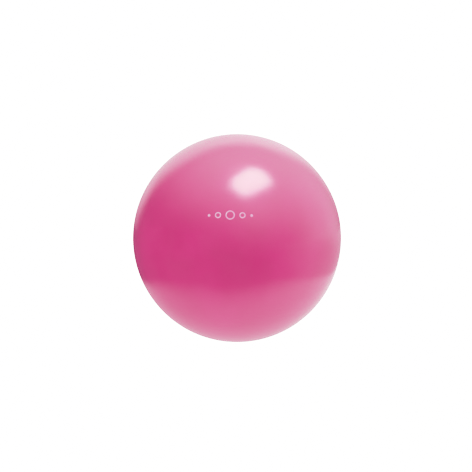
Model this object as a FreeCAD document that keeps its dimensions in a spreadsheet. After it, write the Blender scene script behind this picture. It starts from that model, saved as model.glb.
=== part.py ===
"""Exercise ball: an inflated vinyl skin, a valve insert fused into it, a push-in plug and a printed mark.

Millimetres. The origin is the middle of the flat patch on which the ball stands. +Z is up, +Y points
out of the valve and -Y is the printed front. Every piece is drawn about the ball's centre, then lifted.
In an outline about the valve, across is the distance from the ball's centre and up is the radius.
"""

import FreeCAD, Part
import os
from types import SimpleNamespace

import Sketcher

# The driving dimensions, with what each one measures.
DIMENSIONS = {
    "ball_diameter": (650, "outside of the inflated skin"),
    "skin_thickness": (0.8, "stretched wall of the skin"),
    "patch_diameter": (64, "flat patch where the ball's weight presses the skin on the floor"),
    "seam_width": (1.6, "mould parting line, from side to side"),
    "seam_height": (0.2, "mould parting line, above the skin"),
    "dimple_depth": (2.4, "flat land round the valve, below the top of the ball's curve"),
    "land_diameter": (32, "flat land round the valve"),
    "dimple_curve": (28, "radius of the dimple's side, seen in section"),
    "dimple_width": (58, "circle to which the dimple's side is drawn, beyond the skin"),
    "crease_radius": (8, "rounding where the dimple's side meets the ball"),
    "neck_diameter": (21, "part of the insert that fills the hole in the skin"),
    "flange_diameter": (30, "flange of the insert, fused to the inside of the skin"),
    "flange_thickness": (1.6, "flange of the insert"),
    "collar_diameter": (18, "tube of the insert that grips the plug"),
    "collar_length": (16, "insert, from its outer face to its inner end"),
    "collar_chamfer": (1.2, "inner end of the collar"),
    "bore_diameter": (9.2, "hole that the plug fills and that a pump's nozzle enters"),
    "bore_mouth": (0.7, "lead-in chamfer at both ends of the bore"),
    "head_diameter": (16, "plug's head"),
    "head_rim": (0.9, "top of the head's rim, above the valve's face"),
    "head_crown": (1.9, "middle of the head, above the valve's face"),
    "head_curve": (30, "radius of the head's crown"),
    "head_round": (0.6, "rounding of the rim"),
    "head_bevel": (1.1, "bevel under the rim, where a plug remover gets a hold"),
    "raised_ring": (10.8, "middle of the raised ring on the head"),
    "raised_ring_top": (1.6, "top of the raised ring, above the valve's face"),
    "raised_ring_depth": (0.4, "raised ring, from its top to its foot inside the head"),
    "raised_ring_width": (1.4, "raised ring at its foot"),
    "raised_ring_slope": (0.4, "sideways reach of each of its slanted sides"),
    "gate_diameter": (2.6, "moulding mark in the middle of the head"),
    "gate_depth": (0.3, "moulding mark in the middle of the head"),
    "stem_diameter": (7.8, "plug's stem between its ribs"),
    "stem_length": (23, "plug's stem, from under the head to the tip"),
    "tip_length": (4, "tapered end of the stem"),
    "tip_diameter": (5.6, "end face of the stem"),
    "rib_diameter": (9.1, "crest of a rib on the stem"),
    "rib_crest": (0.5, "flat of a rib's crest"),
    "rib_width": (2.6, "rib, from its step to the foot of its slope"),
    "rib_pitch": (4.7, "from one rib to the next: the last one steps out behind the collar"),
    "rib_start": (2.2, "first rib's step, below the head"),
    "rib_count": (4, "ribs on the stem"),
    "core_diameter": (3.4, "hollow in the stem, open at the tip"),
    "core_length": (18.5, "hollow in the stem"),
    "ink_thickness": (0.1, "film of ink"),
    "mark_line": (3.6, "width of the mark's drawn rings"),
    "mark_ring": (27, "outside of the middle ring"),
    "mark_side_ring": (18, "outside of the two rings beside it"),
    "mark_dot": (8, "dots at the mark's two ends"),
    "mark_ring_step": (35, "from the middle ring to a side ring"),
    "mark_dot_step": (61, "from the middle ring to an end dot"),
    "mark_rise": (16.7, "degrees of the mark above the ball's equator"),
}


class Size:
    """A number and the formula that gives it, so that one line of arithmetic works on both."""

    def __init__(self, number, formula=None):
        self.number = number
        self.formula = formula or str(number)

    def __add__(self, other):
        other = as_size(other)
        return Size(self.number + other.number, f"({self.formula} + {other.formula})")

    def __sub__(self, other):
        other = as_size(other)
        return Size(self.number - other.number, f"({self.formula} - {other.formula})")

    def __mul__(self, other):
        other = as_size(other)
        return Size(self.number * other.number, f"({self.formula} * {other.formula})")

    def __truediv__(self, other):
        other = as_size(other)
        return Size(self.number / other.number, f"({self.formula} / {other.formula})")

    def __neg__(self):
        return Size(0) - self


def as_size(value):
    """A size as it is, or a plain number as a size."""
    return value if isinstance(value, Size) else Size(value)


def leg(longest, other):
    """One leg of a right triangle, from its longest side and its other leg."""
    square = longest * longest - other * other
    return Size(square.number**0.5, f"sqrt({square.formula})")


d = SimpleNamespace(**{name: Size(row[0], f"dimensions.{name}") for name, row in DIMENSIONS.items()})
RADIUS = d.ball_diameter / 2
CENTRE_HEIGHT = leg(RADIUS, d.patch_diameter / 2)
LAND = RADIUS - d.dimple_depth  # the insert's outer face, from the ball's centre
CLEAR = 6  # how far a cutting shape reaches past the piece it cuts
BITE = 0.4  # how far an added shape reaches into the piece it grows on
SAME = 0.01  # places and radii nearer than this are one

doc = FreeCAD.newDocument("exercise_ball")


def fill_sheet():
    """Writes each driving dimension, its name and its meaning into a row of the sheet."""
    sheet = doc.addObject("Spreadsheet::Sheet", "dimensions")
    for row, (name, (value, meaning)) in enumerate(DIMENSIONS.items(), start=1):
        sheet.set(f"A{row}", str(value))
        sheet.setAlias(f"A{row}", name)
        sheet.set(f"B{row}", meaning)
    doc.recompute()


def bind(thing, path, value):
    """Ties a property to the formula of a size."""
    thing.setExpression(path, value.formula)


def lift(piece):
    """Raises a piece from the ball's centre to its place above the floor."""
    bind(piece, "Placement.Base.z", CENTRE_HEIGHT)
    return piece


def new_sketch(body, role, name):
    """An empty sketch on one of the body's own planes."""
    sketch = body.newObject("Sketcher::SketchObject", name)
    plane = next(feature for feature in body.Origin.OriginFeatures if feature.Role == role)
    sketch.AttachmentSupport = [(plane, "")]
    sketch.MapMode = "FlatFace"
    sketch.Visibility = False
    return sketch


def middle_of_arc(start, end, radius):
    """The middle of the arc that turns left from start to end, by less than half a turn."""
    chord = end - start
    left = FreeCAD.Vector(-chord.y, chord.x, 0).normalize()
    to_centre = (radius**2 - (chord.Length / 2) ** 2) ** 0.5
    return (start + end) / 2 + left * (to_centre - radius)


def hold(sketch, kind, where, value):
    """Adds one dimension to a sketch and ties it to its formula. A zero puts the point on the axis."""
    if value.number == 0:
        axis = -2 if kind == "DistanceX" else -1
        sketch.addConstraint(Sketcher.Constraint("PointOnObject", *where, axis))
        return
    index = sketch.addConstraint(Sketcher.Constraint(kind, *where, value.number))
    bind(sketch, f"Constraints[{index}]", value)


def draw_edge(sketch, index, start, end, radius):
    """Draws one edge, straight or round, and returns the numbers of its first and last point."""
    if radius is None:
        sketch.addGeometry(Part.LineSegment(start, end))
        return 1, 2
    turns_right = radius.number < 0
    if turns_right:
        start, end, radius = end, start, -radius
    sketch.addGeometry(Part.Arc(start, middle_of_arc(start, end, radius.number), end))
    hold(sketch, "Radius", [index], radius)
    return (2, 1) if turns_right else (1, 2)


def draw_outline(sketch, corners):
    """Draws a closed outline through corners (across, up).

    A corner (across, up, radius) starts an arc to the next corner: it turns left, or right for a
    negative radius.
    """
    corners = [tuple(as_size(value) for value in corner) for corner in corners]
    places = [FreeCAD.Vector(corner[0].number, corner[1].number, 0) for corner in corners]
    points = []
    for index, corner in enumerate(corners):
        radius = corner[2] if len(corner) > 2 else None
        end = places[(index + 1) % len(corners)]
        points.append(draw_edge(sketch, index, places[index], end, radius))
    for index, corner in enumerate(corners):
        before = (index - 1) % len(corners)
        first = (index, points[index][0])
        sketch.addConstraint(Sketcher.Constraint("Coincident", before, points[before][1], *first))
        hold(sketch, "DistanceX", first, corner[0])
        hold(sketch, "DistanceY", first, corner[1])


def turn(body, kind, name, corners, role="YZ_Plane", axis="H_Axis"):
    """Turns an outline, usually about the valve's axis, to add it (Revolution) or to cut it away (Groove)."""
    sketch = new_sketch(body, role, name + "_outline")
    draw_outline(sketch, corners)
    feature = body.newObject("PartDesign::" + kind, name)
    feature.Profile = sketch
    feature.ReferenceAxis = (sketch, [axis])
    feature.Angle = 360
    doc.recompute()
    return feature


def widest_ring(feature, beyond):
    """The names of the edges that make the widest circle about the valve's axis past a given distance."""
    widths = {}
    for number, edge in enumerate(feature.Shape.Edges, start=1):
        box = edge.BoundBox
        if box.YLength < SAME and box.YMin > beyond:
            widths[f"Edge{number}"] = box.XLength
    widest = max(widths.values())
    return [name for name, width in widths.items() if width > widest - SAME]


def round_crease(body, cut, inset):
    """Rounds the edge where the dimple's side meets the ball."""
    fillet = body.newObject("PartDesign::Fillet", cut.Name + "_crease")
    fillet.Base = (cut, widest_ring(cut, (LAND - inset).number - SAME))
    bind(fillet, "Radius", d.crease_radius - inset)
    doc.recompute()


def ball_form(name, inset):
    """The ball as a solid drawn in by an inset: a sphere with the valve's dimple and a flat foot."""
    body = doc.addObject("PartDesign::Body", name)
    sphere, floor = RADIUS - inset, CENTRE_HEIGHT - inset
    turn(body, "Revolution", name + "_sphere", [(sphere, 0, sphere), (0, sphere, sphere), (-sphere, 0)])
    if inset.number == 0:
        add_seam(body)
    land, side, outside = LAND - inset, d.dimple_curve + inset, RADIUS + CLEAR
    reach = leg(side, (d.dimple_width - d.land_diameter) / 2)
    dimple = [
        (land, 0),
        (outside, 0),
        (outside, d.dimple_width / 2),
        (LAND + d.dimple_curve - reach, d.dimple_width / 2, side),
        (land, d.land_diameter / 2),
    ]
    cut = turn(body, "Groove", name + "_dimple", dimple)
    round_crease(body, cut, inset)
    foot = [(0, -floor), (0, -outside), (outside, -outside), (outside, -floor)]
    turn(body, "Groove", name + "_foot", foot, "XZ_Plane", "V_Axis")
    return body


def add_seam(body):
    """A low bead round the ball where the two halves of its mould met, square to the valve's axis."""
    half, root = d.seam_width / 2, RADIUS - BITE
    shoulder = leg(RADIUS, half)
    curve = (half * half + d.seam_height * d.seam_height) / (d.seam_height * 2)
    bead = [(half, root), (half, shoulder, curve), (-half, shoulder), (-half, root)]
    turn(body, "Revolution", "seam_bead", bead)


def make_ball_skin():
    """The skin: the outside form, less the air inside it, less the hole for the valve insert."""
    outside = ball_form("skin_outside", Size(0))
    inside = ball_form("skin_inside", d.skin_thickness)
    hole = doc.addObject("Part::Cylinder", "valve_hole")
    bind(hole, "Radius", d.neck_diameter / 2)
    bind(hole, "Height", d.collar_length)
    hole.Placement.Rotation = FreeCAD.Rotation(FreeCAD.Vector(1, 0, 0), -90)
    bind(hole, "Placement.Base.y", LAND - d.collar_length / 2)
    removed = doc.addObject("Part::MultiFuse", "air_and_hole")
    removed.Shapes = [inside, hole]
    skin = doc.addObject("Part::Cut", "ball_skin")
    skin.Base, skin.Tool = outside, removed
    return lift(skin)


def make_valve_insert():
    """The thick soft bush that grips the plug: a neck in the skin's hole, a flange and a collar inside."""
    body = doc.addObject("PartDesign::Body", "valve_insert")
    under_skin = LAND - d.skin_thickness
    under_flange = under_skin - d.flange_thickness
    end = LAND - d.collar_length
    neck, flange, collar = d.neck_diameter / 2, d.flange_diameter / 2, d.collar_diameter / 2
    bore, mouth = d.bore_diameter / 2, d.bore_diameter / 2 + d.bore_mouth
    section = [
        (LAND - d.bore_mouth, bore),
        (LAND, mouth),
        (LAND, neck),
        (under_skin, neck),
        (under_skin, flange),
        (under_flange, flange),
        (under_flange, collar),
        (end + d.collar_chamfer, collar),
        (end, collar - d.collar_chamfer),
        (end, mouth),
        (end + d.bore_mouth, bore),
    ]
    turn(body, "Revolution", "insert_section", section)
    return lift(body)


def make_valve_plug():
    """The plug: a crowned, ringed head on the valve's face and a hollow stem with ribs in its bore."""
    body = doc.addObject("PartDesign::Body", "valve_plug")
    tip, crown = LAND - d.stem_length, LAND + d.head_crown
    rim_top, rim_edge = LAND + d.head_rim, d.head_diameter / 2
    stem = d.stem_diameter / 2
    solid = [
        (tip, 0),
        (crown, 0, d.head_curve),
        (rim_top, rim_edge - d.head_round, d.head_round),
        (rim_top - d.head_round, rim_edge),
        (LAND, rim_edge - d.head_bevel),
        (LAND, stem),
        (tip + d.tip_length, stem),
        (tip, d.tip_diameter / 2),
    ]
    turn(body, "Revolution", "plug_section", solid)
    add_ribs(body, stem)
    ring_top = LAND + d.raised_ring_top
    ring_foot = ring_top - d.raised_ring_depth
    inside = (d.raised_ring - d.raised_ring_width) / 2
    outside = (d.raised_ring + d.raised_ring_width) / 2
    slope = d.raised_ring_slope
    raised = [(ring_foot, inside), (ring_top, inside + slope), (ring_top, outside - slope)]
    raised.append((ring_foot, outside))
    turn(body, "Revolution", "raised_ring", raised)
    gate = [(crown + CLEAR, 0), (crown + CLEAR, d.gate_diameter / 2)]
    gate += [(crown - d.gate_depth, d.gate_diameter / 2), (crown - d.gate_depth, 0)]
    turn(body, "Groove", "gate_mark", gate)
    core = [(tip - CLEAR, 0), (tip + d.core_length, 0), (tip + d.core_length, d.core_diameter / 2)]
    core.append((tip - CLEAR, d.core_diameter / 2))
    turn(body, "Groove", "hollow_core", core)
    return lift(body)


def add_ribs(body, stem):
    """Sawtooth ribs on the plug's stem, a step toward the head and a slope toward the tip."""
    step, crest, foot = LAND - d.rib_start, d.rib_diameter / 2, stem - BITE
    tooth = [(step, foot), (step, crest), (step - d.rib_crest, crest)]
    tooth += [(step - d.rib_width, stem), (step - d.rib_width, foot)]
    rib = turn(body, "Revolution", "first_rib", tooth)
    rows = body.newObject("PartDesign::LinearPattern", "ribs")
    rows.Originals = [rib]
    rows.Direction = (rib.Profile[0], ["H_Axis"])
    rows.Reversed = True
    bind(rows, "Length", d.rib_pitch * (d.rib_count - 1))
    bind(rows, "Occurrences", d.rib_count)
    body.Tip = rows
    doc.recompute()


def disc(name, step, width):
    """A round post as wide as a part of the mark, standing beside the middle of the mark's own plane."""
    post = doc.addObject("Part::Cylinder", name)
    bind(post, "Radius", width / 2)
    bind(post, "Height", RADIUS + CLEAR)
    bind(post, "Placement.Base.x", step)
    return post


def ring(name, step, width):
    """A drawn ring of the mark, as a round post with a hollow."""
    hoop = doc.addObject("Part::Cut", name)
    hoop.Base = disc(name + "_outside", step, width)
    hoop.Tool = disc(name + "_inside", step, width - d.mark_line * 2)
    return hoop


def make_printed_mark():
    """The printed mark: a row of a dot, three rings and a dot, as a film of ink on the skin."""
    shapes = [ring("middle_ring", Size(0), d.mark_ring)]
    for side, way in (("left", Size(-1)), ("right", Size(1))):
        shapes.append(ring(side + "_ring", d.mark_ring_step * way, d.mark_side_ring))
        shapes.append(disc(side + "_dot", d.mark_dot_step * way, d.mark_dot))
    stamp = doc.addObject("Part::Compound", "stamp")
    stamp.Links = shapes
    bind(stamp, "Placement.Rotation.Roll", Size(90) - d.mark_rise)
    film = doc.addObject("Part::Cut", "ink_film")
    film.Base, film.Tool = [ink_ball("ink_outside", d.ink_thickness), ink_ball("ink_inside", Size(0))]
    mark = doc.addObject("Part::Common", "printed_mark")
    mark.Base, mark.Tool = stamp, film
    return lift(mark)


def ink_ball(name, rise):
    """A ball that lies above the skin by the given rise."""
    ball = doc.addObject("Part::Sphere", name)
    bind(ball, "Radius", RADIUS + rise)
    return ball


def check(pieces):
    """Stops unless every object is sound and every piece is a valid solid shape."""
    for thing in doc.Objects:
        assert not {"Invalid", "Error"} & set(thing.State), f"{thing.Name} is {thing.State}"
    for piece in pieces:
        shape = piece.Shape
        assert not shape.isNull() and shape.isValid() and shape.Solids, f"{piece.Label} isn't sound"


def main():
    """Builds every piece, checks them all and writes each one as a STEP file."""
    fill_sheet()
    pieces = [make_ball_skin(), make_valve_insert(), make_valve_plug(), make_printed_mark()]
    doc.recompute()
    check(pieces)
    os.makedirs("parts", exist_ok=True)
    for piece in pieces:
        piece.Shape.exportStep(f"parts/{piece.Label}.step")
        print(piece.Label, len(piece.Shape.Solids), "solids", round(piece.Shape.Volume), "mm3")


main()
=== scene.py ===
"""Looks of the exercise ball: a glossy inflated skin, its printed mark, its valve insert and its plug.

Metres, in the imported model's frame: the origin is the middle of the flat patch on which the ball stands,
+Z is up, +Y points out of the valve and -Y is the printed front. In a profile about the valve's axis,
along is the distance from the ball's centre towards the valve and out is the distance from the axis.
"""

import math

import bmesh
import bpy
from mathutils import Matrix, Vector


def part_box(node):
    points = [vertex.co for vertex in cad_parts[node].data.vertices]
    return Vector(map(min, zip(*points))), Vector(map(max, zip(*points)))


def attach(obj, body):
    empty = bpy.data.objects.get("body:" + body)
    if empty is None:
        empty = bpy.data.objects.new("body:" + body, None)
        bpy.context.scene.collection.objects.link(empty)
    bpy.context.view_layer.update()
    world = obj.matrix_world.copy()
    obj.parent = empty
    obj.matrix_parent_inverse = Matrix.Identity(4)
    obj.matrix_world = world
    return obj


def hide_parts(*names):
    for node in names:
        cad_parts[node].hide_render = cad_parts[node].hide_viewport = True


MM = 0.001

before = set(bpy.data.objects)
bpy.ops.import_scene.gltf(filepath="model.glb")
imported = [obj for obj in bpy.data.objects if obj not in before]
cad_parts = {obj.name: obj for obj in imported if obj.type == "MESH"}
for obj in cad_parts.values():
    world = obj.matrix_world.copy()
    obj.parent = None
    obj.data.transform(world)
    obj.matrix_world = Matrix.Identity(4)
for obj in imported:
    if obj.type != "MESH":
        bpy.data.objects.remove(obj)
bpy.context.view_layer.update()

# The ball's driving sizes, from the frame where it shows them.
SEAM_HEIGHT = 0.2 * MM
SEAM_WIDTH = 1.6 * MM
FOOT_BEND = 0.3 * MM  # how softly the side bends into the flat patch
SKIN_LOW, SKIN_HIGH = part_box("ball_skin")
RADIUS = -SKIN_LOW.y
CENTRE = Vector((0, 0, SKIN_HIGH.z - SEAM_HEIGHT - RADIUS))
WALL = 0.8 * MM
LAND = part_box("valve_insert")[1].y  # the flat land round the valve, from the ball's centre
HOLE = 10.5 * MM
LAND_RADIUS = 16 * MM
DIMPLE_CURVE = 28 * MM
CREASE = 8 * MM
RIDGES = 5  # low moulded rings in the dimple's side
RIDGE_HEIGHT = 0.12 * MM

# The printed mark: rings and dots (step to the side, outside diameter), in line above the equator.
MARK_RISE = math.radians(16.7)
MARK_LINE = 3.6 * MM
MARK_RINGS = ((0, 27 * MM), (-35 * MM, 18 * MM), (35 * MM, 18 * MM))
MARK_DOTS = ((-61 * MM, 8 * MM), (61 * MM, 8 * MM))
INK = 0.1 * MM
INK_EDGE = 0.15 * MM  # over this width a film's edge rounds off, by way of one corner
INK_CORNER = (0.3, 0.7)  # the corner's place, as shares of that width and of the film's thickness

# The small round edges and the welded corners of the pieces that keep their CAD shape.
EDGE_ROUND = 0.12 * MM
WELD_GAP = 0.002 * MM
SHARP = math.radians(28)

# How finely the skin and the mark are divided. The cap is the front of the skin, meshed as a bent grid.
SPOKES = 192
CAP_ANGLE = math.radians(26)
LAND_STEPS, BEND_STEPS, RIDGE_STEPS = 3, 8, 8
BACK_STEPS, SEAM_STEPS, FRONT_STEPS = 46, 4, 34
MARK_SPOKES = 72


# ---------------------------------------------------------------- skin


def circles_meet(first, first_radius, second, second_radius):
    """The upper of the two points where two circles meet."""
    gap = second - first
    along = (gap.length_squared + first_radius**2 - second_radius**2) / (2 * gap.length)
    aside = math.sqrt(first_radius**2 - along**2)
    step = gap.normalized()
    ends = [first + step * along + Vector((-step.y, step.x)) * side * aside for side in (-1, 1)]
    return max(ends, key=lambda end: end.y)


def arc(centre, radius, start, end, steps):
    """Points along an arc, without its last one."""
    for step in range(steps):
        angle = start + (end - start) * step / steps
        yield centre + Vector((math.cos(angle), math.sin(angle))) * radius


def angle_of(direction):
    return math.atan2(direction.y, direction.x)


def ridged_side(bowl, bowl_end):
    """Points along the dimple's side, with a gap, a few round ridges side by side and another gap."""
    steps = (RIDGES + 2) * RIDGE_STEPS
    for step in range(steps):
        turn = step / RIDGE_STEPS - 1
        rise = RIDGE_HEIGHT * math.sin(math.pi * turn) ** 2 if 0 < turn < RIDGES else 0
        angle = math.pi + (bowl_end - math.pi) * step / steps
        yield bowl + Vector((math.cos(angle), math.sin(angle))) * (DIMPLE_CURVE - rise)


def skin_profile(inset):
    """Points (along, out) from the valve's hole over the dimple and the ball's side to the front cap."""
    origin = Vector((0, 0))
    bowl = Vector((LAND + DIMPLE_CURVE, LAND_RADIUS))
    crease = circles_meet(origin, RADIUS - CREASE, bowl, DIMPLE_CURVE + CREASE)
    bowl_end, side_start = angle_of(crease - bowl), angle_of(crease)
    land = LAND_RADIUS - HOLE
    points = [Vector((LAND - inset, HOLE + land * step / LAND_STEPS)) for step in range(LAND_STEPS)]
    if inset:
        points += arc(bowl, DIMPLE_CURVE + inset, math.pi, bowl_end, BEND_STEPS)
    else:
        points += ridged_side(bowl, bowl_end)
    points += arc(crease, CREASE - inset, bowl_end - math.pi, side_start, BEND_STEPS)
    seam_angle = SEAM_WIDTH / 2 / RADIUS
    seam = math.pi / 2
    points += arc(origin, RADIUS - inset, side_start, seam - seam_angle, BACK_STEPS)
    for step in range(-SEAM_STEPS, SEAM_STEPS):
        share = step / SEAM_STEPS
        lift = 0 if inset else SEAM_HEIGHT * (1 - share**2)
        turn = seam + seam_angle * share
        points.append(Vector((math.cos(turn), math.sin(turn))) * (RADIUS - inset + lift))
    end = math.pi - CAP_ANGLE
    points += arc(origin, RADIUS - inset, seam + seam_angle, end, FRONT_STEPS)
    points.append(Vector((math.cos(end), math.sin(end))) * (RADIUS - inset))
    return points


def rested(place, floor):
    """A place on the skin, lifted where it would lie below the floor, in a soft bend."""
    height = place.z - floor
    return Vector((place.x, place.y, floor + (height + math.hypot(height, FOOT_BEND)) / 2))


def skin_side(inset, vertices, faces):
    """Adds the skin's outer side (no inset) or inner side. Returns its first ring, round the hole."""
    floor = inset - CENTRE.z
    rings = []
    for point in skin_profile(inset):
        ring = []
        for spoke in range(SPOKES):
            turn = 2 * math.pi * spoke / SPOKES
            place = Vector((point.y * math.cos(turn), point.x, point.y * math.sin(turn)))
            ring.append(len(vertices))
            vertices.append(rested(place, floor) + CENTRE)
        rings.append(ring)
    for inner, outer in zip(rings, rings[1:]):
        for spoke in range(SPOKES):
            after = (spoke + 1) % SPOKES
            faces.append((inner[spoke], inner[after], outer[after], outer[spoke]))
    skin_cap(inset, rings[-1], vertices, faces)
    return rings[0]


def skin_cap(inset, edge_ring, vertices, faces):
    """Closes the front with a square grid bent into a round cap, so that no fan of faces meets there."""
    cells = SPOKES // 4
    grid = {}
    for row in range(cells + 1):
        for column in range(cells + 1):
            across, up = 2 * column / cells - 1, 2 * row / cells - 1
            if abs(across) >= abs(up):
                reach = across
                turn = math.pi / 4 * up / across if across else 0
            else:
                reach = up
                turn = math.pi / 2 - math.pi / 4 * across / up
            if reach < 0:
                reach, turn = -reach, turn + math.pi
            if row in (0, cells) or column in (0, cells):
                grid[row, column] = edge_ring[round(turn / (2 * math.pi) * SPOKES) % SPOKES]
                continue
            polar = CAP_ANGLE * reach
            out = math.sin(polar) * (RADIUS - inset)
            along = -math.cos(polar) * (RADIUS - inset)
            grid[row, column] = len(vertices)
            vertices.append(Vector((out * math.cos(turn), along, out * math.sin(turn))) + CENTRE)
    for row in range(cells):
        for column in range(cells):
            corners = ((row, column), (row, column + 1), (row + 1, column + 1), (row + 1, column))
            faces.append(tuple(grid[corner] for corner in corners))


def new_piece(name, vertices, faces, material, body, node):
    """A smooth-shaded piece on a body that stands for a CAD node, with every face turned outwards."""
    mesh = bpy.data.meshes.new(name)
    mesh.from_pydata([tuple(vertex) for vertex in vertices], [], faces)
    form = bmesh.new()
    form.from_mesh(mesh)
    bmesh.ops.recalc_face_normals(form, faces=form.faces)
    form.to_mesh(mesh)
    form.free()
    mesh.shade_smooth()
    mesh.materials.append(material)
    piece = bpy.data.objects.new(name, mesh)
    bpy.context.scene.collection.objects.link(piece)
    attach(piece, body)
    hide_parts(node)
    return piece


def make_skin():
    """The inflated skin, a closed wall with the valve's hole through it."""
    vertices, faces = [], []
    outer = skin_side(0, vertices, faces)
    inner = skin_side(WALL, vertices, faces)
    for spoke in range(SPOKES):
        after = (spoke + 1) % SPOKES
        faces.append((outer[spoke], outer[after], inner[after], inner[spoke]))
    new_piece("inflated_skin", vertices, faces, skin_material(), "ball", "ball_skin")


# ---------------------------------------------------------------- printed mark


def on_ball(across, up, height):
    """A place above the ball's front at a height over its curve, from a place in the mark's own plane."""
    radius = RADIUS + height
    back = -math.sqrt(radius**2 - across**2 - up**2)
    return Matrix.Rotation(-MARK_RISE, 3, "X") @ Vector((across, back, up)) + CENTRE


def film_edge(out, inwards):
    """A film's edge as (out, height): it starts sunk in the skin and rounds off inwards (1 or -1)."""
    inset, rise = INK_CORNER
    corner = (out - inwards * INK_EDGE * inset, INK * rise)
    return [(out, -INK), (out, 0), corner, (out - inwards * INK_EDGE, INK)]


def add_ring(step, width, vertices, faces):
    """A ring of ink, as a closed band."""
    outer, inner = film_edge(width / 2, 1), film_edge(width / 2 - MARK_LINE, -1)
    start, end = outer[-1][0], inner[-1][0]
    top = [(start + (end - start) * share, INK) for share in (0.25, 0.5, 0.75)]
    add_band(step, outer + top + inner[::-1], vertices, faces, closed=True)


def add_dot(step, width, vertices, faces):
    """A round dot of ink, as a closed button."""
    top = [(width / 2 * share, INK) for share in (0.6, 0.25)]
    rings = add_band(step, film_edge(width / 2, 1) + top, vertices, faces, closed=False)
    for ring, height in ((rings[0], -INK), (rings[-1], INK)):
        middle = len(vertices)
        vertices.append(on_ball(step, 0, height))
        for spoke, start in enumerate(ring):
            faces.append((start, ring[(spoke + 1) % MARK_SPOKES], middle))


def add_band(step, section, vertices, faces, closed):
    """Turns a film's section about the middle of a ring or dot. Returns its rings of vertices."""
    rings = []
    for out, height in section:
        first = len(vertices)
        for spoke in range(MARK_SPOKES):
            turn = 2 * math.pi * spoke / MARK_SPOKES
            vertices.append(on_ball(step + out * math.cos(turn), out * math.sin(turn), height))
        rings.append(range(first, first + MARK_SPOKES))
    pairs = list(zip(rings, rings[1:] + rings[:1]))
    for one, other in pairs if closed else pairs[:-1]:
        for spoke in range(MARK_SPOKES):
            after = (spoke + 1) % MARK_SPOKES
            faces.append((one[spoke], one[after], other[after], other[spoke]))
    return rings


def make_mark():
    """The printed row of a dot, three rings and a dot, each a thin film that follows the ball's curve."""
    vertices, faces = [], []
    for step, width in MARK_RINGS:
        add_ring(step, width, vertices, faces)
    for step, width in MARK_DOTS:
        add_dot(step, width, vertices, faces)
    new_piece("ink_row", vertices, faces, ink_material(), "ball", "printed_mark")


# ---------------------------------------------------------------- nodes and materials


NOISE_RANGE = (0.3, 0.7)  # the noise stays almost wholly between these


class Nodes:
    """Adds nodes to a tree. An input's value is a number, a tuple or another node's output."""

    def __init__(self, tree):
        self.tree = tree

    def add(self, kind, inputs, **settings):
        node = self.tree.nodes.new("ShaderNode" + kind)
        for name, value in settings.items():
            setattr(node, name, value)
        for socket, value in inputs.items():
            self.feed(node.inputs[socket], value)
        return node

    def feed(self, socket, value):
        if isinstance(value, bpy.types.NodeSocket):
            self.tree.links.new(value, socket)
        else:
            socket.default_value = value

    def math(self, operation, *values):
        return self.add("Math", dict(enumerate(values)), operation=operation).outputs[0]

    def dot(self, one, other):
        return self.add("VectorMath", {0: one, 1: other}, operation="DOT_PRODUCT").outputs["Value"]

    def ease(self, value, start, end, low=0.0, high=1.0):
        """Goes smoothly from low to high as the value goes from start to end."""
        inputs = {"Value": value, "From Min": start, "From Max": end, "To Min": low, "To Max": high}
        return self.add("MapRange", inputs, interpolation_type="SMOOTHSTEP").outputs[0]

    def noise(self, place, scale, detail):
        inputs = {"Vector": place, "Scale": scale, "Detail": detail}
        return self.add("TexNoise", inputs).outputs["Fac"]

    def mix(self, share, one, other):
        """A colour between two others."""
        node = self.add("Mix", {"Factor": share}, data_type="RGBA")
        self.feed(node.inputs[6], one)
        self.feed(node.inputs[7], other)
        return node.outputs[2]


def new_material(name, **values):
    """A Principled material, its even values set by socket name with _ for a space."""
    material = bpy.data.materials.new(name)
    material.use_nodes = True
    shader = material.node_tree.nodes["Principled BSDF"]
    for socket, value in values.items():
        shader.inputs[socket.replace("_", " ")].default_value = value
    return material, Nodes(material.node_tree), shader


class Places:
    """Where a point of the surface is: its place, its distance from the valve's axis, and how far along."""

    def __init__(self, nodes):
        self.whole = nodes.add("TexCoord", {}).outputs["Object"]
        spot = nodes.add("SeparateXYZ", {0: self.whole}).outputs
        self.along = spot[1]
        rise = nodes.math("SUBTRACT", spot[2], CENTRE.z)
        squares = nodes.math("MULTIPLY_ADD", rise, rise, nodes.math("MULTIPLY", spot[0], spot[0]))
        self.out = nodes.math("SQRT", squares)


def fine_rings(nodes, places, pitch, first, last, height):
    """The height of fine turned rings about the valve's axis, between two distances from it."""
    wave = nodes.math("SINE", nodes.math("MULTIPLY", places.out, 2 * math.pi / pitch))
    inside = nodes.ease(places.out, first - pitch, first)
    outside = nodes.ease(places.out, last + pitch, last)
    window = nodes.math("MULTIPLY", inside, outside)
    return nodes.math("MULTIPLY", nodes.math("MULTIPLY", wave, window), height)


def patches(nodes, places, scale, detail=2.0, low=0.0, high=1.0):
    """Soft random patches that go between two values."""
    return nodes.ease(nodes.noise(places.whole, scale, detail), *NOISE_RANGE, low, high)


def grain(nodes, places, scale, detail, height):
    """The height of a random grain."""
    return nodes.math("MULTIPLY", nodes.noise(places.whole, scale, detail), height)


def roughen(nodes, shader, heights, coat=False):
    """Tilts the surface by the sum of some heights, in metres."""
    total = 0
    for height in heights:
        total = nodes.math("ADD", total, height)
    bump = nodes.add("Bump", {"Height": total, "Distance": 1.0, "Strength": 1.0}).outputs[0]
    nodes.feed(shader.inputs["Normal"], bump)
    if coat:
        nodes.feed(shader.inputs["Coat Normal"], bump)


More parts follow.
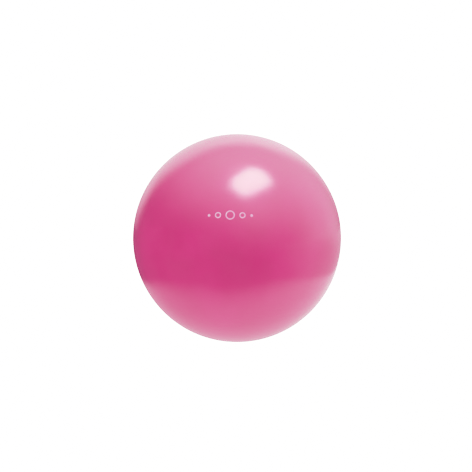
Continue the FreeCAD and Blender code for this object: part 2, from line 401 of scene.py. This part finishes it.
def skin_material():
    """Glossy soft vinyl: deeper pink where the wall is thicker, faintly wavy, with a fine orange peel."""
    material, nodes, shader = new_material(
        "glossy_pink_vinyl", Coat_Weight=1.0, Coat_Roughness=0.13, Specular_IOR_Level=1.0,
        Sheen_Weight=0.5, Sheen_Roughness=0.5, Sheen_Tint=(1, 0.08, 0.4, 1))
    places = Places(nodes)
    behind = nodes.ease(places.along, 0, RADIUS / 2)
    near_valve = nodes.math("MULTIPLY", behind, nodes.ease(places.out, 40 * MM, 17 * MM))
    off_seam = nodes.math("ABSOLUTE", places.along)
    on_seam = nodes.ease(off_seam, SEAM_WIDTH, SEAM_WIDTH / 4)
    thick = patches(nodes, places, 6)
    colour = nodes.mix(thick, (0.755, 0.034, 0.252, 1), (0.685, 0.026, 0.218, 1))
    pigment = nodes.ease(nodes.noise(places.whole, 420, 4), 0.25, 0.75, 0, 0.35)
    colour = nodes.mix(pigment, colour, (0.66, 0.022, 0.2, 1))
    colour = nodes.mix(nodes.math("MULTIPLY", near_valve, 0.6), colour, (0.56, 0.016, 0.155, 1))
    colour = nodes.mix(nodes.math("MULTIPLY", on_seam, 0.5), colour, (0.8, 0.07, 0.32, 1))
    nodes.feed(shader.inputs["Base Color"], colour)
    handled = patches(nodes, places, 16, 3, 0.21, 0.27)
    rough = nodes.math("MULTIPLY_ADD", on_seam, 0.1, handled)
    nodes.feed(shader.inputs["Roughness"], rough)
    heights = [
        grain(nodes, places, 12, 1, 0.8 * MM),
        grain(nodes, places, 500, 2, 0.018 * MM),
    ]
    roughen(nodes, shader, heights, coat=True)
    return material


def ink_material():
    """Screen-printed pale ink: thin, so pink shows through its mottled coverage."""
    material, nodes, shader = new_material("printed_ink")
    places = Places(nodes)
    gaps = nodes.ease(nodes.noise(places.whole, 900, 5), 0.5, 0.75, 0, 0.6)
    cloudy = patches(nodes, places, 60)
    colour = nodes.mix(cloudy, (0.98, 0.54, 0.77, 1), (0.96, 0.46, 0.71, 1))
    colour = nodes.mix(gaps, colour, (0.8, 0.14, 0.37, 1))
    nodes.feed(shader.inputs["Base Color"], colour)
    nodes.feed(shader.inputs["Roughness"], nodes.math("MULTIPLY_ADD", gaps, -0.15, 0.42))
    roughen(nodes, shader, [grain(nodes, places, 1400, 3, 0.01 * MM)])
    return material


def insert_material():
    """Thicker soft vinyl in a deeper pink, with turned rings on its face and a duller rim."""
    material, nodes, shader = new_material("satin_deep_pink_vinyl")
    places = Places(nodes)
    cloudy = patches(nodes, places, 180, 3)
    colour = nodes.mix(cloudy, (0.6, 0.02, 0.175, 1), (0.5, 0.014, 0.14, 1))
    dust = nodes.ease(nodes.noise(places.whole, 900, 6), 0.55, 0.7, 0, 0.35)
    edge = nodes.ease(places.out, HOLE - 1.2 * MM, HOLE)
    dust = nodes.math("MULTIPLY", dust, nodes.math("MULTIPLY_ADD", edge, 0.8, 0.2))
    colour = nodes.mix(dust, colour, (0.66, 0.3, 0.38, 1))
    nodes.feed(shader.inputs["Base Color"], colour)
    rough = patches(nodes, places, 120, 4, 0.3, 0.42)
    nodes.feed(shader.inputs["Roughness"], nodes.math("ADD", rough, dust))
    heights = [
        fine_rings(nodes, places, 0.7 * MM, 5.6 * MM, HOLE - 0.6 * MM, 0.012 * MM),
        grain(nodes, places, 900, 3, 0.012 * MM),
    ]
    roughen(nodes, shader, heights)
    return material


def plug_material():
    """White moulded plastic: cloudy, finely turned on the head, with faint random grime, and under its rim
    a grey band that is partly grime and partly painted shade in the crease over the land.
    """
    material, nodes, shader = new_material("satin_white_plastic")
    places = Places(nodes)
    cloudy = patches(nodes, places, 150)
    colour = nodes.mix(cloudy, (0.86, 0.855, 0.83, 1), (0.82, 0.81, 0.775, 1))
    above_land = nodes.math("ABSOLUTE", nodes.math("SUBTRACT", places.along, LAND))
    # Painted shade: a grey band round the plug just above and below the land, under its head, on top of the
    # faint random grime elsewhere.
    low = nodes.ease(above_land, 0.9 * MM, 0.1 * MM)
    grime_and_painted_shade = nodes.ease(nodes.noise(places.whole, 700, 6), 0.42, 0.68, 0, 0.5)
    grime_and_painted_shade = nodes.math("MULTIPLY", grime_and_painted_shade, nodes.math("MULTIPLY_ADD", low, 0.8, 0.1))
    colour = nodes.mix(grime_and_painted_shade, colour, (0.42, 0.36, 0.35, 1))
    nodes.feed(shader.inputs["Base Color"], colour)
    rough = patches(nodes, places, 300, 5, 0.36, 0.5)
    nodes.feed(shader.inputs["Roughness"], nodes.math("ADD", rough, nodes.math("MULTIPLY", grime_and_painted_shade, 0.3)))
    on_head = nodes.ease(places.along, LAND, LAND + 0.5 * MM)
    turned = fine_rings(nodes, places, 0.5 * MM, 1.8 * MM, 6.5 * MM, 0.006 * MM)
    heights = [
        nodes.math("MULTIPLY", on_head, turned),
        grain(nodes, places, 1200, 3, 0.012 * MM),
    ]
    roughen(nodes, shader, heights)
    return material


def dress(node, material):
    """Gives a CAD node, whose shape is right, a better material and small round edges."""
    piece = bpy.data.objects[node]
    for slot in piece.material_slots:
        slot.material = material
    weld = piece.modifiers.new("one_surface", "WELD")
    weld.merge_threshold = WELD_GAP
    bevel = piece.modifiers.new("round_edges", "BEVEL")
    bevel.width = EDGE_ROUND
    bevel.segments = 3
    bevel.limit_method = "ANGLE"
    bevel.angle_limit = SHARP
    bevel.harden_normals = True


# ---------------------------------------------------------------- studio

# The view: a long lens, a little above the ball's middle, with the mark a little left of the middle.
LENS_MM = 85.16
SENSOR_MM = 36
DISTANCE = 3.5
VIEW_ELEVATION = math.radians(5)
VIEW_AZIMUTH = math.radians(3.6)
FRAME_SIDE = 472
BALL_OFF_CENTRE = Vector((1.04, -2.14)) / FRAME_SIDE  # of the picture's side, to the right and up

# The light that the skin mirrors. Directions are in degrees: azimuth from the front towards +X, then
# elevation. A glow is round, full up to one angle from its middle and gone from another.
GLOWS = (
    dict(azimuth=35, elevation=81, full=0, gone=86, strength=1.86),  # the ceiling
    dict(azimuth=113, elevation=10, full=8, gone=73, strength=0.98),  # a pale wall on the right
    dict(azimuth=33, elevation=29, full=0, gone=49, strength=0.39),  # a window in front
)
# A panel is a rectangle with round corners, turned by its roll. It reaches wide and high to each side, and
# its edge fades over that share of its size, inwards and outwards.
PANELS = (
    dict(azimuth=35.5, elevation=67, roll=-18, wide=18.5, high=13, fade=0.45, strength=5.6),  # the soft box
    dict(azimuth=192, elevation=27, roll=0, wide=31.5, high=25.5, fade=0.49, strength=1.0),  # the backdrop
)
ROUNDNESS = 3  # of a panel's corners: 2 makes an ellipse and a high number a sharp rectangle
LEAST_FACING = 0.05  # keeps a panel out of the directions beside it and behind it
DARK = 0.08  # the dim room that the skin mirrors elsewhere
EVEN_LIGHT = (0.965, 1.32)  # what matt colour gets from the front and from behind
EVEN_LIGHT_RANGE = (-0.5, 1)  # the share of a direction along +Y over which it goes from one to the other
FILM_KNEE = 0.68  # the brightness up to which the picture keeps every brightness as it is
WHITE = 2.2  # the brightness that the picture shows as white
ROLL_OFF = ((0.9, 0.77), (1.4, 0.935))  # how it shows two brightnesses between the knee and white
# How it then shows blue: a little less of it in the middle tones, so that pale edges stay pink.
BLUE_ROLL_OFF = ((0.2, 0.2), (0.4, 0.395), (0.6, 0.552), (0.7, 0.655), (0.8, 0.8))


def view_axes():
    """The camera's right, up and backward directions when it looks at the ball's centre."""
    level = Matrix.Rotation(VIEW_AZIMUTH, 3, "Z")
    tilt = Matrix.Rotation(-VIEW_ELEVATION, 3, "X")
    turn = level @ tilt
    return turn @ Vector((1, 0, 0)), turn @ Vector((0, 0, 1)), turn @ Vector((0, -1, 0))


def make_camera():
    right, up, back = view_axes()
    data = bpy.data.cameras.new("camera")
    data.lens = LENS_MM
    data.sensor_width = SENSOR_MM
    camera = bpy.data.objects.new("camera", data)
    width = SENSOR_MM / LENS_MM * DISTANCE
    aim = CENTRE - (right * BALL_OFF_CENTRE.x + up * BALL_OFF_CENTRE.y) * width
    camera.location = CENTRE + back * DISTANCE
    camera.rotation_euler = (aim - camera.location).to_track_quat("-Z", "Y").to_euler()
    bpy.context.scene.collection.objects.link(camera)
    bpy.context.scene.camera = camera


def heading(azimuth, elevation):
    """The direction at an azimuth from the front towards +X and an elevation, in degrees."""
    azimuth, elevation = math.radians(azimuth), math.radians(elevation)
    level = math.cos(elevation)
    return Vector((math.sin(azimuth) * level, -math.cos(azimuth) * level, math.sin(elevation)))


def glow(nodes, direction, azimuth, elevation, full, gone, strength):
    """A round glow in the world."""
    facing = nodes.dot(direction, heading(azimuth, elevation))
    apart = nodes.math("ARCCOSINE", facing)
    return nodes.ease(apart, math.radians(gone), math.radians(full), 0, strength)


def reach_out(nodes, across, up):
    """How far out a place is in a rectangle with round corners that reaches 1 to each side."""
    total = 0
    for reach in (across, up):
        reach = nodes.math("POWER", nodes.math("ABSOLUTE", reach), ROUNDNESS)
        total = nodes.math("ADD", total, reach)
    return nodes.math("POWER", total, 1 / ROUNDNESS)


def panel(nodes, direction, azimuth, elevation, roll, wide, high, fade, strength):
    """A rectangular glow in the world with round corners and soft edges."""
    middle = heading(azimuth, elevation)
    level = heading(azimuth + 90, 0)
    turn = Matrix.Rotation(math.radians(-roll), 3, middle)
    facing = nodes.math("MAXIMUM", nodes.dot(direction, middle), LEAST_FACING)
    reaches = []
    for axis, half in ((turn @ level, wide), (turn @ middle.cross(-level), high)):
        aside = nodes.dot(direction, axis / math.tan(math.radians(half)))
        reaches.append(nodes.math("DIVIDE", aside, facing))
    return nodes.ease(reach_out(nodes, *reaches), 1 + fade, 1 - fade, 0, strength)


def make_world():
    """A white surround for the camera, an even light for matt surfaces and soft glows for gloss."""
    world = bpy.data.worlds.new("studio")
    bpy.context.scene.world = world
    world.use_nodes = True
    world.cycles.sampling_method = "NONE"
    world.node_tree.nodes.clear()
    nodes = Nodes(world.node_tree)
    direction = nodes.add("TexCoord", {}).outputs["Generated"]
    mirrored = DARK
    for values in GLOWS:
        mirrored = nodes.math("ADD", mirrored, glow(nodes, direction, **values))
    for values in PANELS:
        mirrored = nodes.math("ADD", mirrored, panel(nodes, direction, **values))
    even = nodes.ease(nodes.dot(direction, (0, 1, 0)), *EVEN_LIGHT_RANGE, *EVEN_LIGHT)
    ray = nodes.add("LightPath", {}).outputs
    light = nodes.mix(ray["Is Diffuse Ray"], mirrored, even)
    light = nodes.mix(ray["Is Camera Ray"], light, (WHITE, WHITE, WHITE, 1))
    background = nodes.add("Background", {"Color": light})
    nodes.add("OutputWorld", {"Surface": background.outputs[0]})


# What the skin mirrors of the floor: a white sheet under the ball and a pale stretch on its +X side.
SHEET_MIDDLE = Vector((0.06, 0.5))
SHEET_REACH = Vector((0.67, 0.92))
SHEET_FADE = 0.16
SHEET_RANGE = (-0.6, 0.6)  # over this range of x the sheet's brightness goes from one to the other
SHEET_BRIGHTNESS = (0.56, 1.1)
PALE_EDGE = (0.2, 0.5)  # over this range of x the pale stretch fades in
PALE_TURN = (math.radians(-70), math.radians(4))  # and over this turn, from +X towards +Y
PALE_RANGE = (1, 4)  # over this range of x its brightness goes from one to the other
PALE_BRIGHTNESS = (0.61, 0.78)
FLOOR_SIDE = 16


def make_floor():
    """A plain white floor. What the skin mirrors of it is a white sheet in a dim room."""
    mesh = bpy.data.meshes.new("studio_floor")
    half = FLOOR_SIDE / 2
    corners = [(-half, -half, 0), (half, -half, 0), (half, half, 0), (-half, half, 0)]
    mesh.from_pydata(corners, [], [(0, 1, 2, 3)])
    floor = bpy.data.objects.new("studio_floor", mesh)
    bpy.context.scene.collection.objects.link(floor)
    material = bpy.data.materials.new("white_floor")
    material.use_nodes = True
    material.node_tree.nodes.clear()
    nodes = Nodes(material.node_tree)
    place = nodes.add("TexCoord", {}).outputs["Object"]
    spot = nodes.add("SeparateXYZ", {0: place}).outputs
    x, y = spot[0], spot[1]
    across = nodes.math("DIVIDE", nodes.math("SUBTRACT", x, SHEET_MIDDLE.x), SHEET_REACH.x)
    up = nodes.math("DIVIDE", nodes.math("SUBTRACT", y, SHEET_MIDDLE.y), SHEET_REACH.y)
    edge = reach_out(nodes, across, nodes.math("MINIMUM", up, 0))
    sheet = nodes.ease(edge, 1 + SHEET_FADE, 1 - SHEET_FADE)
    sheet = nodes.math("MULTIPLY", sheet, nodes.ease(x, *SHEET_RANGE, *SHEET_BRIGHTNESS))
    turned = nodes.math("ARCTAN2", y, x)
    pale = nodes.math("MULTIPLY", nodes.ease(x, *PALE_EDGE), nodes.ease(turned, *PALE_TURN))
    pale = nodes.math("MULTIPLY", pale, nodes.ease(x, *PALE_RANGE, *PALE_BRIGHTNESS))
    mirrored = nodes.math("MAXIMUM", nodes.math("MAXIMUM", sheet, pale), DARK)
    ray = nodes.add("LightPath", {}).outputs
    light = nodes.mix(ray["Is Glossy Ray"], (EVEN_LIGHT[0],) * 3 + (1,), mirrored)
    light = nodes.mix(ray["Is Camera Ray"], light, (WHITE, WHITE, WHITE, 1))
    emission = nodes.add("Emission", {"Color": light})
    nodes.add("OutputMaterial", {"Surface": emission.outputs[0]})
    mesh.materials.append(material)


def make_film():
    """Lets bright colours roll off softly to white, as film does, so that highlights keep some colour."""
    settings = bpy.context.scene.view_settings
    settings.view_transform = "Standard"
    settings.use_curve_mapping = True
    mapping = settings.curve_mapping
    mapping.clip_max_x = WHITE
    blue, all_colours = mapping.curves[2].points, mapping.curves[3].points
    all_colours[-1].location = (WHITE, 1)
    for place in ((FILM_KNEE / 2, FILM_KNEE / 2), (FILM_KNEE, FILM_KNEE), *ROLL_OFF):
        all_colours.new(*place)
    for place in BLUE_ROLL_OFF:
        blue.new(*place)
    mapping.update()


def main():
    make_film()
    make_camera()
    make_world()
    make_floor()
    make_skin()
    make_mark()
    dress("valve_insert", insert_material())
    dress("valve_plug", plug_material())


main()
